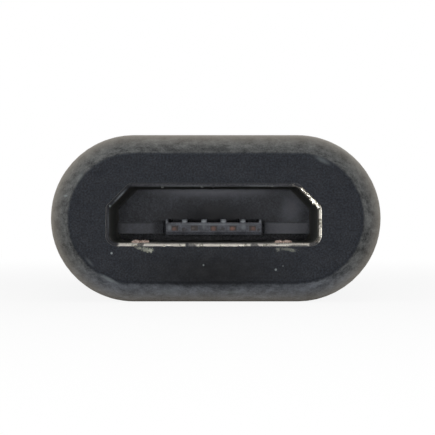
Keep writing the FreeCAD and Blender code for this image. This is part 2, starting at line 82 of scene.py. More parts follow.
# The photograph's frame: what it spans at the end face, and from where it was taken
photo = {
    "pixels": 435,
    "spanAtFace": 14.31 * mm,
    "distanceToFace": 50.0 * mm,
    "besideMiddle": 0.058 * mm,
    "aboveMiddle": 0.025 * mm,
    "sensor": 36.0,
    "clipNear": 1 * mm,
    "clipFar": 5.0,
}
housingLow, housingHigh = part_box("housing_sleeve")
faceY = housingLow.y
lookAtX = (housingLow.x + housingHigh.x) / 2 + photo["besideMiddle"]
lookAtZ = (housingLow.z + housingHigh.z) / 2 + photo["aboveMiddle"]


def photoPoint(pixelX, pixelY, depth=0.0):
    # the point that a pixel of the photograph shows, at a depth behind the end face
    distance = photo["distanceToFace"] + depth
    scale = photo["spanAtFace"] / photo["pixels"] * distance / photo["distanceToFace"]
    middle = photo["pixels"] / 2
    return Vector((
        lookAtX + (pixelX - middle) * scale,
        faceY + depth,
        lookAtZ - (pixelY - middle) * scale,
    ))


def makeCamera():
    data = bpy.data.cameras.new("photoCamera")
    data.sensor_width = photo["sensor"]
    data.lens = photo["sensor"] * photo["distanceToFace"] / photo["spanAtFace"]
    data.clip_start = photo["clipNear"]
    data.clip_end = photo["clipFar"]
    camera = bpy.data.objects.new("photoCamera", data)
    camera.location = (lookAtX, faceY - photo["distanceToFace"], lookAtZ)
    camera.rotation_euler = (math.radians(90), 0, 0)
    bpy.context.scene.collection.objects.link(camera)
    bpy.context.scene.camera = camera
    print("Camera", round(data.lens, 1), "mm lens,", photo["distanceToFace"] / mm, "mm from the face")


# Room: a small photo tent, white behind the part and dimmer behind the camera
room = {
    "roomLevel": 0.26,
    "dimLevel": 0.05,
    "whiteTowards": (-0.35, 1.0, 0.0),
    "whiteFrom": -0.35,
    "whiteTo": 0.20,
    "floorReach": 30 * mm,
    "floorSize": 1.2,
    "floorColour": "#ececec",
    "floorGap": 0.01 * mm,
    "shadowReach": 45 * mm,
    "shadowShare": 0.12,
}


def whiteShare(tree, direction):
    # 1 for rays that find the white background: what the camera sees, straight or through a
    # piece, and what metal mirrors from behind and from the left of the part
    path = addNode(tree, "LightPath")
    seen = addNode(tree, "Math", {"operation": "MAXIMUM"}, {
        0: path.outputs["Is Camera Ray"], 1: path.outputs["Is Transmission Ray"]})
    turned = addNode(tree, "VectorMath", {
        "operation": "DOT_PRODUCT", 1: room["whiteTowards"]}, {0: direction})
    behind = addNode(tree, "MapRange", {
        "interpolation_type": "SMOOTHSTEP", "From Min": room["whiteFrom"], "From Max": room["whiteTo"],
        "To Min": room["dimLevel"],
    }, {"Value": turned.outputs["Value"]})
    mirrored = addNode(tree, "Math", {"operation": "MULTIPLY"}, {
        0: behind.outputs[0], 1: path.outputs["Is Glossy Ray"]})
    share = addNode(tree, "Math", {"operation": "MAXIMUM"}, {0: seen.outputs[0], 1: mirrored.outputs[0]})
    return path, share.outputs[0]


def makeWorld():
    world = bpy.data.worlds.new("photoTent")
    bpy.context.scene.world = world
    world.use_nodes = True
    tree = world.node_tree
    tree.nodes.clear()
    direction = addNode(tree, "TexCoord")
    path, white = whiteShare(tree, direction.outputs["Generated"])
    ambient = addNode(tree, "Math", {"operation": "MULTIPLY", 1: room["roomLevel"]}, {
        0: path.outputs["Is Diffuse Ray"]})
    level = addNode(tree, "Math", {"operation": "MAXIMUM"}, {0: ambient.outputs[0], 1: white})
    light = addNode(tree, "Background", {"Color": (1, 1, 1, 1)}, {"Strength": level.outputs[0]})
    addNode(tree, "OutputWorld", links={"Surface": light.outputs[0]})


def makeFloor():
    form = bmesh.new()
    bmesh.ops.create_grid(form, x_segments=1, y_segments=1, size=room["floorSize"] / 2)
    bmesh.ops.translate(form, verts=form.verts, vec=(0, 0, -room["floorGap"]))
    mesh = bpy.data.meshes.new("paleFloor")
    form.to_mesh(mesh)
    form.free()
    floor = bpy.data.objects.new("paleFloor", mesh)
    bpy.context.scene.collection.objects.link(floor)

    # matt white card; it shows white to the camera and in metal, less the shadow near the part,
    # and its underside is clear, so that the part can be seen from below
    material, tree, place = newMaterial("whiteCard")
    card = addNode(tree, "BsdfDiffuse", {"Color": linearColour(room["floorColour"])})
    outwards = addNode(tree, "VectorMath", {
        "operation": "SCALE", "Scale": 1 / room["floorReach"]}, {0: place})
    path, white = whiteShare(tree, outwards.outputs[0])
    glow = addNode(tree, "Emission", {"Color": (1, 1, 1, 1)}, {"Strength": white})
    distance = addNode(tree, "VectorMath", {"operation": "LENGTH"}, {0: place})
    far = addNode(tree, "MapRange", {
        "interpolation_type": "SMOOTHSTEP", "From Min": 0.0, "From Max": room["shadowReach"],
        "To Min": 1 - room["shadowShare"], "To Max": 1.0,
    }, {"Value": distance.outputs["Value"]})
    shown = addNode(tree, "Math", {"operation": "SUBTRACT", 0: 1.0}, {1: path.outputs["Is Diffuse Ray"]})
    share = addNode(tree, "Math", {"operation": "MULTIPLY"}, {0: shown.outputs[0], 1: far.outputs[0]})
    above = addNode(tree, "MixShader", links={
        0: share.outputs[0], 1: card.outputs[0], 2: glow.outputs[0]})
    side = addNode(tree, "NewGeometry").outputs["Backfacing"]
    clear = addNode(tree, "BsdfTransparent")
    finishMaterial(tree, addNode(tree, "MixShader", links={
        0: side, 1: above.outputs[0], 2: clear.outputs[0]}))
    mesh.materials.append(material)
    print("Floor and room done")


# Softboxes, in millimetres: place, size and radiance
softboxes = {
    "keyFromLeft": {"at": (-160, -110, 60), "size": (110, 120), "radiance": 1.45},
    "fillFromRight": {"at": (170, -80, 60), "size": (100, 110), "radiance": 1.35},
    "lowFront": {"at": (0, -190, 3), "size": (90, 10), "radiance": 30.0},
    "topFill": {"at": (0, -70, 180), "size": (200, 150), "radiance": 0.75},
    "backFill": {"at": (60, 170, 120), "size": (150, 120), "radiance": 1.3},
    "lowBack": {"at": (0, 190, 4), "size": (90, 30), "radiance": 4.5},
}


def makeLamps():
    aim = Vector((0, 0, lookAtZ))
    for name, box in softboxes.items():
        data = bpy.data.lights.new(name, "AREA")
        data.shape = "RECTANGLE"
        data.size, data.size_y = box["size"][0] * mm, box["size"][1] * mm
        data.energy = box["radiance"] * math.pi * data.size * data.size_y
        lamp = bpy.data.objects.new(name, data)
        lamp.location = Vector(box["at"]) * mm
        lamp.rotation_euler = (aim - lamp.location).to_track_quat("-Z", "Y").to_euler()
        lamp.visible_camera = False
        bpy.context.scene.collection.objects.link(lamp)
    print("Softboxes:", len(softboxes))


def ramp(tree, value, start, end, low=0.0, high=1.0, smooth=False):
    # a value that goes from low to high between start and end
    kind = "SMOOTHSTEP" if smooth else "LINEAR"
    node = addNode(tree, "MapRange", {
        "interpolation_type": kind, "From Min": start, "From Max": end, "To Min": low, "To Max": high,
    }, {"Value": value})
    return node.outputs[0]


def times(tree, value, factor):
    # a value times a number or another value, kept between 0 and 1
    node = addNode(tree, "Math", {"operation": "MULTIPLY", "use_clamp": True}, {0: value})
    if isinstance(factor, bpy.types.NodeSocket):
        tree.links.new(factor, node.inputs[1])
    else:
        node.inputs[1].default_value = factor
    return node.outputs[0]


def mixed(tree, share, first, second):
    # a colour between two, each a socket or a hex colour
    node = addNode(tree, "Mix", {"data_type": "RGBA"}, {0: share})
    for index, value in ((6, first), (7, second)):
        if isinstance(value, str):
            node.inputs[index].default_value = linearColour(value)
        else:
            tree.links.new(value, node.inputs[index])
    return node.outputs[2]


def cloudiness(tree, place, size, detail=3.0, roughness=0.6, stretch=(1.0, 1.0, 1.0)):
    # noise between 0 and 1 with clouds of a real size, drawn out along an axis if asked
    drawn = addNode(tree, "Mapping", {"Scale": stretch}, {"Vector": place}).outputs[0]
    return addNode(tree, "TexNoise", {
        "Scale": 1 / size, "Detail": detail, "Roughness": roughness}, {"Vector": drawn}).outputs[0]


# Most of a noise's values lie between these, so gloss that varies is spread over them
noiseSpan = (0.3, 0.7)


def paintMarks(tree, place, colour, groups, grain):
    # Paints spots over a colour, ellipses or rectangles seen from the front, ragged by the grain.
    # A spot is its pixel of the photograph, half width and half height in millimetres, turn
    # clockwise in degrees, and strength. Gives the colour, and where the strongest spot lies.
    covered = None
    for group in groups:
        ragged = addNode(tree, "Math", {
            "operation": "MULTIPLY_ADD", 1: group["ragged"], 2: -group["ragged"] / 2,
        }, {0: grain}).outputs[0]
        for pixel, halves, turn, strength in group["spots"]:
            local = addNode(tree, "Mapping", {
                "vector_type": "TEXTURE",
                "Location": photoPoint(*pixel, depth=group["depth"] * mm),
                "Rotation": (0, math.radians(turn), 0),
                "Scale": (halves[0] * mm, group["deep"] * mm, halves[1] * mm),
            }, {"Vector": place})
            if group.get("square"):
                sides = addNode(tree, "VectorMath", {"operation": "ABSOLUTE"}, {0: local.outputs[0]})
                apart = addNode(tree, "SeparateXYZ", links={0: sides.outputs[0]}).outputs
                reach = addNode(tree, "Math", {"operation": "MAXIMUM"}, {0: apart["X"], 1: apart["Z"]})
                reach = addNode(tree, "Math", {"operation": "MAXIMUM"}, {
                    0: reach.outputs[0], 1: apart["Y"]})
            else:
                reach = addNode(tree, "VectorMath", {"operation": "LENGTH"}, {0: local.outputs[0]})
            rough = addNode(tree, "Math", {"operation": "ADD"}, {0: reach.outputs["Value"], 1: ragged})
            inside = ramp(tree, rough.outputs[0], 1.0, 1.0 - group["edge"], 0.0, strength, smooth=True)
            colour = mixed(tree, inside, colour, group["tint"])
            covered = inside if covered is None else addNode(tree, "Math", {"operation": "MAXIMUM"}, {
                0: covered, 1: inside}).outputs[0]
    return colour, covered


# Housing: glass-filled polycarbonate, moulded in a spark-eroded tool
housingLook = {
    "faceColour": "#171a21",
    "faceGrainColour": "#30353f",
    # the rim is paler than the face: rubbed mottling, and painted sheen for the light its slope catches
    "rimColour": "#1a1c1f",
    "rimRubbedColour": "#7a7c7b",
    # painted light: the lower rim is paler, for the light thrown up from the floor
    "rimLowPaintedLightColour": "#44474c",
    "rimLowPaintedLightRubbedColour": "#888d95",
    # painted sheen: the rim grows paler towards its outer edge
    "rimPaintedSheenColour": "#aaa398",
    "sideColour": "#2a2b2d",
    "sideGrainColour": "#38393a",
    "grainSize": 0.06 * mm,
    "grainHeight": 0.007 * mm,
    "grainSpan": (0.35, 0.68),
    "mottleSize": 0.26 * mm,
    "mottleDetail": 5.0,
    "mottleRoughness": 0.65,
    "mottleStretch": (0.7, 1.0, 1.0),
    "mottleSpan": (0.36, 0.66),
    "grainInRubbing": 0.35,
    "mottleInRubbing": 0.65,
    "paintedSheenPower": 2.4,
    "paintedSheenShare": 0.80,
    "rimFull": 0.07 * mm,
    "rimEnd": 0.66 * mm,
    "rimFade": 1.15 * mm,
    "lowFrom": 1.5 * mm,
    "lowTo": 0.35 * mm,
    "roughness": (0.52, 0.72),
    "ior": 1.58,
    "specular": 0.3,
}
# What is painted on the end face and on its bevelled rim: a darker patch, painted shade on the rim, and
# what use has left
housingMarks = [
    {   # the face is a little darker under the socket
        "tint": "#0c0d11", "depth": 0.0, "deep": 0.3, "edge": 1.0, "ragged": 0.1,
        "spots": [((212, 274), (3.9, 1.3), 0, 0.8)],
    },
    {   # painted shade on the rim just above and below the face
        "tint": "#1c1e20", "depth": 0.1, "deep": 0.5, "edge": 1.0, "ragged": 0.4,
        "spots": [((214, 150), (4.2, 0.16), 0, 0.45), ((212, 284.5), (4.0, 0.10), 0, 0.15)],
    },
    {   # pale scuffs under the lip, where plugs have scraped
        "tint": "#a9ab9d", "depth": 0.0, "deep": 0.12, "edge": 0.8, "ragged": 2.2,
        "spots": [
            ((139.5, 248.2), (0.17, 0.06), 12, 0.55),
            ((145.5, 249.4), (0.22, 0.10), 12, 0.65),
            ((150.2, 250.3), (0.13, 0.10), 0, 0.95),
            ((278.0, 249.6), (0.09, 0.09), 0, 0.34),
            ((287.0, 249.2), (0.34, 0.07), 3, 0.34),
            ((292.8, 250.6), (0.15, 0.08), 0, 0.32),
        ],
    },
    {   # specks of dust
        "tint": "#a6afb0", "depth": 0.0, "deep": 0.12, "edge": 0.7, "ragged": 0.4,
        "spots": [
            ((111.6, 253.2), (0.05, 0.05), 0, 0.75),
            ((203.5, 265.1), (0.04, 0.045), 0, 0.5),
            ((275.8, 269.7), (0.05, 0.055), 0, 0.6),
            ((283.0, 266.0), (0.035, 0.035), 0, 0.3),
        ],
    },
    {   # rubbed streaks on the rim
        "tint": "#9aa3a4", "depth": 0.2, "deep": 0.7, "edge": 0.9, "ragged": 0.9,
        "spots": [
            ((65.6, 195.8), (0.11, 0.05), 0, 0.6),
            ((108.5, 278.5), (0.50, 0.09), 27, 0.5),
            ((90.0, 262.0), (0.30, 0.08), 48, 0.15),
            ((168.0, 291.5), (0.50, 0.10), 0, 0.25),
            ((232.0, 292.5), (0.55, 0.09), 0, 0.22),
            ((322.0, 160.5), (0.42, 0.12), 28, 0.3),
            ((81.0, 176.0), (0.30, 0.12), -60, 0.2),
        ],
    },
]


def makeHousingPlastic():
    # black PC moulded in a spark-eroded tool: a fine matt grain; the rim paler and mottled, partly where
    # it is rubbed and partly as painted sheen, with more painted sheen towards its outer edge and
    # painted light on its lower part
    look = housingLook
    material, tree, place = newMaterial("sparkErodedPolycarbonate")
    parts = addNode(tree, "SeparateXYZ", links={0: place}).outputs
    grain = cloudiness(tree, place, look["grainSize"])
    mottle = cloudiness(
        tree, place, look["mottleSize"],
        look["mottleDetail"], look["mottleRoughness"], look["mottleStretch"])
    grainShare = ramp(tree, grain, *look["grainSpan"])
    mottleShare = ramp(tree, mottle, *look["mottleSpan"])
    fine = times(tree, grainShare, look["grainInRubbing"])
    rubbed = addNode(tree, "Math", {
        "operation": "MULTIPLY_ADD", 1: look["mottleInRubbing"], "use_clamp": True,
    }, {0: mottleShare, 2: fine}).outputs[0]

    onRim = ramp(tree, parts["Y"], faceY, faceY + look["rimFull"], smooth=True)
    outwards = ramp(tree, parts["Y"], faceY + look["rimFull"], faceY + look["rimEnd"])
    # painted sheen, growing towards the rim's outer edge
    paintedSheen = addNode(tree, "Math", {
        "operation": "POWER", 1: look["paintedSheenPower"]}, {0: outwards}).outputs[0]
    onSide = ramp(tree, parts["Y"], faceY + look["rimEnd"], faceY + look["rimFade"], smooth=True)
    # painted light on the lower rim, for the light thrown up from the floor
    paintedLightLow = ramp(tree, parts["Z"], look["lowFrom"], look["lowTo"], smooth=True)

    face = mixed(tree, grainShare, look["faceColour"], look["faceGrainColour"])
    # the rim: rubbed mottling and painted sheen
    rim = mixed(tree, rubbed, look["rimColour"], look["rimRubbedColour"])
    rimLow = mixed(tree, rubbed, look["rimLowPaintedLightColour"], look["rimLowPaintedLightRubbedColour"])
    rim = mixed(tree, paintedLightLow, rim, rimLow)
    rim = mixed(tree, times(tree, paintedSheen, look["paintedSheenShare"]), rim, look["rimPaintedSheenColour"])
    side = mixed(tree, grainShare, look["sideColour"], look["sideGrainColour"])
    colour = mixed(tree, onSide, mixed(tree, onRim, face, rim), side)
    colour = paintMarks(tree, place, colour, housingMarks, grain)[0]

    rough = ramp(tree, mottle, *noiseSpan, *look["roughness"])
    bump = addNode(tree, "Bump", {"Strength": 1.0, "Distance": look["grainHeight"]}, {"Height": grain})
    finishMaterial(tree, addNode(tree, "BsdfPrincipled", {
        "IOR": look["ior"], "Specular IOR Level": look["specular"]}, {
        "Base Color": colour, "Roughness": rough, "Normal": bump.outputs[0]}))
    return material


# Plain plastics: broad clouds of this many grains, and where cloud and grain together are pale
plainPlastic = {"grainsPerCloud": 8, "paleSpan": (0.12, 0.42)}


def makePlainPlastic(name, look, groups=()):
    # a moulded plastic or ceramic with a fine grain and slightly uneven gloss, and marks if any
    material, tree, place = newMaterial(name)
    grain = cloudiness(tree, place, look["grainSize"])
    cloud = cloudiness(tree, place, look["grainSize"] * plainPlastic["grainsPerCloud"])
    both = addNode(tree, "Math", {"operation": "MULTIPLY"}, {0: grain, 1: cloud}).outputs[0]
    pale = ramp(tree, both, *plainPlastic["paleSpan"])
    colour = mixed(tree, pale, look["colour"], look["grainColour"])
    colour = paintMarks(tree, place, colour, groups, grain)[0]
    rough = ramp(tree, cloud, *noiseSpan, *look["roughness"])
    bump = addNode(tree, "Bump", {"Strength": 1.0, "Distance": look["grainHeight"]}, {"Height": grain})
    finishMaterial(tree, addNode(tree, "BsdfPrincipled", {
        "IOR": look["ior"], "Specular IOR Level": look["specular"]}, {
        "Base Color": colour, "Roughness": rough, "Normal": bump.outputs[0]}))
    return material


# Collar: the same black plastic, moulded smoother
collarLook = {
    "colour": "#26272a", "grainColour": "#323337", "grainSize": 0.08 * mm, "grainHeight": 0.004 * mm,
    "roughness": (0.42, 0.6), "ior": 1.58, "specular": 0.35,
}
# Insulators: liquid crystal polymer, glass-filled, so dark grey rather than black
insulatorLook = {
    "colour": "#424348", "grainColour": "#70737b", "grainSize": 0.05 * mm, "grainHeight": 0.003 * mm,
    "roughness": (0.42, 0.62), "ior": 1.6, "specular": 0.12,
}
boardLook = {
    "colour": "#1d5a35", "grainColour": "#2a7a48", "grainSize": 0.12 * mm, "grainHeight": 0.003 * mm,
    "roughness": (0.25, 0.4), "ior": 1.5, "specular": 0.35,
}
resistorLook = {
    "colour": "#1c1c1e", "grainColour": "#2a2a2c", "grainSize": 0.05 * mm, "grainHeight": 0.002 * mm,
    "roughness": (0.3, 0.45), "ior": 1.6, "specular": 0.35,
}
capacitorLook = {
    "colour": "#9b7350", "grainColour": "#b08a66", "grainSize": 0.05 * mm, "grainHeight": 0.002 * mm,
    "roughness": (0.35, 0.5), "ior": 1.6, "specular": 0.35,
}

# The tongue: its ribs stand at this pitch in the photograph
tongue = {"firstRib": 184.5, "ribPitch": 19.5, "ribs": 4, "ribTop": 221.2, "left": 166.2, "right": 260.2}
ribPixels = [tongue["firstRib"] + i * tongue["ribPitch"] for i in range(tongue["ribs"])]
insulatorMarksAndPaintedLight = [
    {   # painted shade: the back wall is dark above the tongue, in its shadow, and at its left, in the shadow of the shell's left wall
        "tint": "#3b3c40", "depth": 5.1, "deep": 0.8, "edge": 0.9, "ragged": 0.2,
        "spots": [((213, 217), (2.7, 0.80), 0, 1.0), ((121, 208), (0.4, 0.7), 0, 0.4)],
    },
    {   # painted light: paler at its top and its right, where light reaches it through the mouth
        "tint": "#b4b6c0", "depth": 5.1, "deep": 0.8, "edge": 1.0, "ragged": 0.3,
        "spots": [
            ((213, 188), (3.7, 0.48), 0, 0.55),
            ((292, 208), (0.60, 0.95), 0, 0.4),
        ],
    },
    {   # painted light on the fronts of the shoulders beside the tongue, which are paler
        "tint": "#b4b6c0", "depth": 4.75, "deep": 0.2, "edge": 0.25, "ragged": 0.5, "square": True,
        "spots": [((287, 228.4), (0.84, 0.22), 0, 0.42), ((137, 228.6), (0.68, 0.21), 0, 0.26)],
    },
    {   # painted shade: the recess under the tongue and the shoulders is black
        "tint": "#08080a", "depth": 4.8, "deep": 0.9, "edge": 0.25, "ragged": 0.2, "square": True,
        "spots": [((213, 237.6), (3.9, 0.15), 0, 1.0)],
    },
    {   # painted highlights on the tips of the ribs and along the edge of the tongue's top between them, and a few on its end
        "tint": "#aeb5b8", "depth": 1.0, "deep": 0.25, "edge": 0.7, "ragged": 1.0,
        "spots": [((pixel, tongue["ribTop"]), (0.10, 0.085), 0, 0.55) for pixel in ribPixels] + [
            ((tongue["left"], tongue["ribTop"]), (0.05, 0.10), 0, 0.45),
            ((tongue["right"], tongue["ribTop"]), (0.05, 0.10), 0, 0.35),
            ((213.2, 224.4), (1.62, 0.045), 0, 0.2),
            ((169.5, 227.5), (0.09, 0.13), 0, 0.3),
            ((204.0, 227.0), (0.08, 0.10), 0, 0.2),
            ((243.5, 227.0), (0.12, 0.12), 0, 0.25),
        ],
    },
    {   # brownish smears between the contacts
        "tint": "#3a302c", "depth": 1.0, "deep": 0.25, "edge": 0.9, "ragged": 1.2,
        "spots": [
            ((184.0, 229.5), (0.12, 0.10), 0, 0.6),
            ((223.0, 229.0), (0.11, 0.12), 0, 0.6),
            ((258.5, 229.5), (0.06, 0.12), 0, 0.6),
        ],
    },
]

# Socket shell: cold-rolled steel strip, stamped and folded, with bright nickel on it
socketShellLook = {
    "colour": "#f3eee3",
    "dullColour": "#8f8a7c",
    "insideColour": "#82837f",
    "deepColour": "#a09f9a",
    "lipDepth": 0.32 * mm,
    "insideDepth": 0.60 * mm,
    "deepFrom": 3.2 * mm,
    "deepTo": 4.6 * mm,
    "lipRoughness": (0.26, 0.42),
    "insideRoughness": 0.7,
    "lineSize": 0.05 * mm,
    "lineStretch": (1.0, 0.15, 1.0),
    "lineHeight": 0.003 * mm,
    "cloudSize": 0.25 * mm,
    "cloudDetail": 4.0,
    "cloudRoughness": 0.7,
    "dullSpan": (0.52, 0.66),
    "dullGrainSize": 0.06 * mm,
    "dullGrainSpan": (0.4, 0.65),
    "dullGrainShare": 0.6,
    "dullGrainColour": "#191a1e",
}
# Painted shade that dulls the nickel on all of the lip's top and left, where it faces away from the
# light, and on the outer and inner edges of the bottom lip, narrowing its bright line; and darker lower
# corners and breaks in the bright metal
shellPaintedShadeAndDullMarks = [
    {   # painted shade on the top lip, which faces away from the light
        "tint": "#5b5c62", "depth": 0.15, "deep": 0.3, "edge": 0.2, "ragged": 0.2, "square": True,
        "spots": [((204.0, 184.0), (3.40, 0.13), 0, 1.0), ((299.0, 184.2), (0.16, 0.10), 25, 1.0)],
    },
    {   # painted shade on the left lip, the outer edge of the top lip, and the upper left corner, which face away from the light
        "tint": "#35363c", "depth": 0.15, "deep": 0.3, "edge": 0.2, "ragged": 0.25, "square": True,
        "spots": [
            ((105.5, 222.0), (0.15, 0.90), 0, 1.0),
            ((204.0, 183.0), (3.40, 0.04), 0, 1.0),
            ((116.0, 195.0), (0.62, 0.20), -46, 1.0),
        ],
    },
    {   # the lower corners, and breaks in the bright metal
        "tint": "#35363c", "depth": 0.15, "deep": 0.3, "edge": 0.35, "ragged": 0.6,
        "spots": [
            ((109.6, 243.5), (0.36, 0.20), 0, 1.0),
            ((308.8, 191.2), (0.07, 0.05), 45, 0.9),
            ((319.8, 240.5), (0.14, 0.16), 0, 0.45),
            ((191.0, 245.5), (0.24, 0.07), 0, 0.8),
            ((187.0, 244.6), (0.06, 0.10), 0, 0.9),
            ((254.5, 245.5), (0.17, 0.08), 0, 0.8),
            ((140.5, 244.8), (0.13, 0.08), 0, 0.8),
            ((298.0, 246.0), (0.40, 0.06), 0, 0.6),
            ((314.0, 244.8), (0.20, 0.12), 0, 0.9),
        ],
    },
    {   # painted shade on the outer edge of the bottom lip
        "tint": "#35363c", "depth": 0.15, "deep": 0.3, "edge": 0.5, "ragged": 0.5,
        "spots": [((150.0, 248.7), (1.6, 0.07), 0, 1.0), ((240.0, 248.7), (1.9, 0.07), 0, 1.0)],
    },
    {   # and painted shade on its inner edge
        "tint": "#35363c", "depth": 0.15, "deep": 0.3, "edge": 0.6, "ragged": 0.5, "square": True,
        "spots": [((213.0, 242.8), (3.3, 0.05), 0, 0.9)],
    },
]
# Painted highlights along the inner edges of the dulled lips
shellPaintedHighlights = [
    {   # painted highlights along the left lip, the upper left corner and the top lip
        "tint": "#8b9094", "depth": 0.20, "deep": 0.3, "edge": 0.9, "ragged": 0.8,
        "spots": [
            ((108.4, 222.0), (0.03, 0.60), 0, 0.35),
            ((119.4, 197.2), (0.50, 0.06), -47, 0.9),
            ((190.0, 186.3), (1.9, 0.045), 0, 0.6),
            ((262.0, 186.1), (1.0, 0.045), 0, 0.7),
        ],
    },
    {   # a painted glint where that corner meets the left lip
        "tint": "#c2ced0", "depth": 0.20, "deep": 0.3, "edge": 0.9, "ragged": 0.5,
        "spots": [((110.6, 207.0), (0.055, 0.10), -30, 1.0)],
    },
]


def makeShellSteel():
    # bright nickel on the lip, dulled by painted shade where it faces away from the light and darker at
    # some corners and breaks, with painted highlights along the dulled edges, and darker and duller
    # inside
    look = socketShellLook
    material, tree, place = newMaterial("nickelPlatedStampedSteel")
    parts = addNode(tree, "SeparateXYZ", links={0: place}).outputs
    lines = cloudiness(tree, place, look["lineSize"], stretch=look["lineStretch"])
    cloud = cloudiness(tree, place, look["cloudSize"], look["cloudDetail"], look["cloudRoughness"])
    inside = ramp(tree, parts["Y"], faceY + look["lipDepth"], faceY + look["insideDepth"], smooth=True)
    dull = ramp(tree, cloud, *look["dullSpan"], smooth=True)
    colour = mixed(tree, dull, look["colour"], look["dullColour"])
    deep = ramp(tree, parts["Y"], faceY + look["deepFrom"], faceY + look["deepTo"], smooth=True)
    colour = mixed(tree, inside, colour, mixed(tree, deep, look["insideColour"], look["deepColour"]))
    colour, paintedShadeAndDullMarks = paintMarks(tree, place, colour, shellPaintedShadeAndDullMarks, lines)
    grain = ramp(tree, cloudiness(tree, place, look["dullGrainSize"]), *look["dullGrainSpan"])
    speckled = times(tree, paintedShadeAndDullMarks, times(tree, grain, look["dullGrainShare"]))
    colour = mixed(tree, speckled, colour, look["dullGrainColour"])
    colour = paintMarks(tree, place, colour, shellPaintedHighlights, lines)[0]
    metallic = addNode(tree, "Math", {
        "operation": "SUBTRACT", 0: 1.0, "use_clamp": True}, {1: paintedShadeAndDullMarks}).outputs[0]
    rough = ramp(tree, lines, *noiseSpan, *look["lipRoughness"])
    rough = addNode(tree, "Mix", {
        "data_type": "FLOAT", 3: look["insideRoughness"]}, {0: inside, 2: rough})
    bump = addNode(tree, "Bump", {"Strength": 1.0, "Distance": look["lineHeight"]}, {"Height": lines})
    finishMaterial(tree, addNode(tree, "BsdfPrincipled", links={
        "Base Color": colour, "Metallic": metallic,
        "Roughness": rough.outputs[0], "Normal": bump.outputs[0]}))
    return material


# Socket contacts: phosphor bronze strip, whose sheared ends show as dots in the tongue
contactLook = {
    "colour": "#8d6544",
    "dullColour": "#3a2c26",
    # the sheared ends: dull cut metal, darkened further as painted shade of the recess round each end
    "cutAndPaintedShadeColour": "#2b2322",
    "cutDepth": 1.10 * mm,
    "cutBlend": 0.05 * mm,
    "cutMetallic": 0.25,
    "dullSpan": (0.4, 0.7),
    "roughness": (0.35, 0.55),
    "lineSize": 0.03 * mm,
    "lineStretch": (1.0, 0.2, 1.0),
    "lineHeight": 0.003 * mm,
}
contactMarks = [
    {   # coppery smears on four of the ends
        "tint": "#8c5c4a", "depth": 1.0, "deep": 0.15, "edge": 0.9, "ragged": 1.2,
        "spots": [
            ((174.0, 228.9), (0.110, 0.090), 0, 0.48),
            ((213.4, 228.7), (0.110, 0.105), 0, 0.52),
            ((232.4, 228.6), (0.125, 0.095), 0, 0.74),
            ((253.2, 228.5), (0.105, 0.090), 0, 0.50),
        ],
    },
    {   # and a grey one on the second end
        "tint": "#7a6f66", "depth": 1.0, "deep": 0.15, "edge": 0.8, "ragged": 0.9,
        "spots": [((193.0, 228.4), (0.07, 0.045), 0, 0.45)],
    },
]


def makeContactBronze():
    # bare bronze strip: brown and dull, each sheared end dark with painted shade of the recess round it,
    # and a coppery or grey smear on each end
    look = contactLook
    material, tree, place = newMaterial("shearedPhosphorBronze")
    parts = addNode(tree, "SeparateXYZ", links={0: place}).outputs
    lines = cloudiness(tree, place, look["lineSize"], stretch=look["lineStretch"])
    cutY = faceY + look["cutDepth"]
    behind = ramp(tree, parts["Y"], cutY, cutY + look["cutBlend"])
    body = mixed(tree, ramp(tree, lines, *look["dullSpan"]), look["colour"], look["dullColour"])
    cut = paintMarks(tree, place, mixed(tree, behind, look["cutAndPaintedShadeColour"], body), contactMarks, lines)[0]
    metallic = ramp(tree, behind, 0.0, 1.0, look["cutMetallic"], 1.0)
    rough = ramp(tree, lines, *noiseSpan, *look["roughness"])
    bump = addNode(tree, "Bump", {"Strength": 1.0, "Distance": look["lineHeight"]}, {"Height": lines})
    finishMaterial(tree, addNode(tree, "BsdfPrincipled", links={
        "Base Color": cut, "Metallic": metallic, "Roughness": rough, "Normal": bump.outputs[0]}))
    return material


# Metals of the plug's end
plugShellLook = {
    "colour": "#c4c3c0", "dullColour": "#b6b5b2", "roughness": (0.24, 0.36),
    "lineSize": 0.03 * mm, "lineHeight": 0.002 * mm, "cloudSize": 1.2 * mm,
}
springLook = {
    "colour": "#b9b7b2", "dullColour": "#8c8983", "roughness": (0.22, 0.34),
    "lineSize": 0.03 * mm, "lineHeight": 0.002 * mm, "cloudSize": 0.6 * mm,
}
goldLook = {
    "colour": "#edc778", "dullColour": "#d2a659", "roughness": (0.34, 0.48),
    "lineSize": 0.02 * mm, "lineHeight": 0.001 * mm, "cloudSize": 0.6 * mm,
}


# What these metals share: how their lines and clouds are drawn
rolledMetal = {
    "lineDetail": 2.0, "lineRoughness": 0.5, "lineStretch": (1.0, 0.04, 1.0),
    "cloudDetail": 5.0, "cloudRoughness": 0.7, "dullSpan": (0.45, 0.75),
}


def makeMetal(name, look):
    # rolled or drawn metal: fine lines along the plug, and clouds of duller metal
    drawn = rolledMetal
    material, tree, place = newMaterial(name)
    lines = cloudiness(
        tree, place, look["lineSize"], drawn["lineDetail"], drawn["lineRoughness"], drawn["lineStretch"])
    cloud = cloudiness(tree, place, look["cloudSize"], drawn["cloudDetail"], drawn["cloudRoughness"])
    dull = ramp(tree, cloud, *drawn["dullSpan"], smooth=True)
    colour = mixed(tree, dull, look["colour"], look["dullColour"])
    rough = ramp(tree, lines, *noiseSpan, *look["roughness"])
    bump = addNode(tree, "Bump", {"Strength": 1.0, "Distance": look["lineHeight"]}, {"Height": lines})
    finishMaterial(tree, addNode(tree, "BsdfPrincipled", {"Metallic": 1.0}, {
        "Base Color": colour, "Roughness": rough, "Normal": bump.outputs[0]}))
    return material


